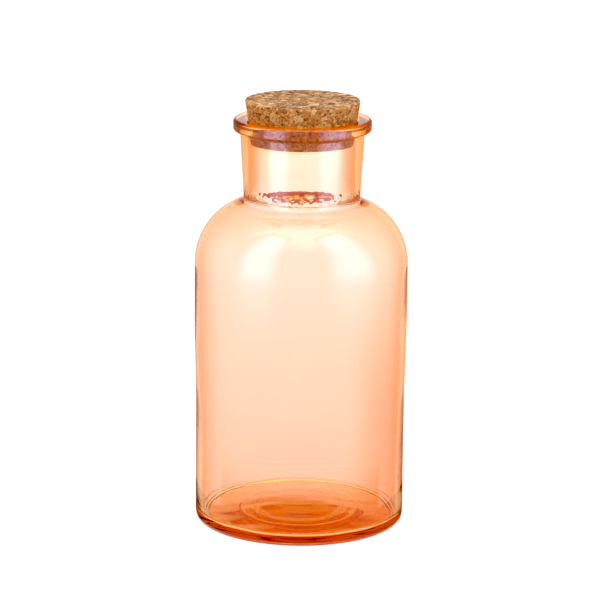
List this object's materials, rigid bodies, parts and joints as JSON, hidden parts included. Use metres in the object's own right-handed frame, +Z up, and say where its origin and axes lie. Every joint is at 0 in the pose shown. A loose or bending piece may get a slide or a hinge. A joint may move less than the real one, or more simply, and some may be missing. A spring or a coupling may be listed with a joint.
{
  "type": "corked glass bottle",
  "caption": "Tinted round glass bottle with a domed shoulder, short neck and flat lip, closed by a tapered plug of pressed cork.",
  "frame": {"origin": "centre of the circle the bottle stands on", "axes": "+Z up along the bottle's axis, towards the cork; the bottle is round, so X and Y are free"},
  "size_m": [0.1014, 0.1014, 0.2045],
  "materials": {
    "tinted_glass": "gloss",
    "pressed_cork": "matte"
  },
  "bodies": {
    "bottle": {"glass_bottle": "tinted_glass"},
    "stopper": {"cork_stopper": "pressed_cork"}
  },
  "joints": [
    {"name": "cork_pull", "type": "slide", "parent": "bottle", "child": "stopper", "axis": [0, 0, 1], "range_m": [0, 0.06]}
  ]
}
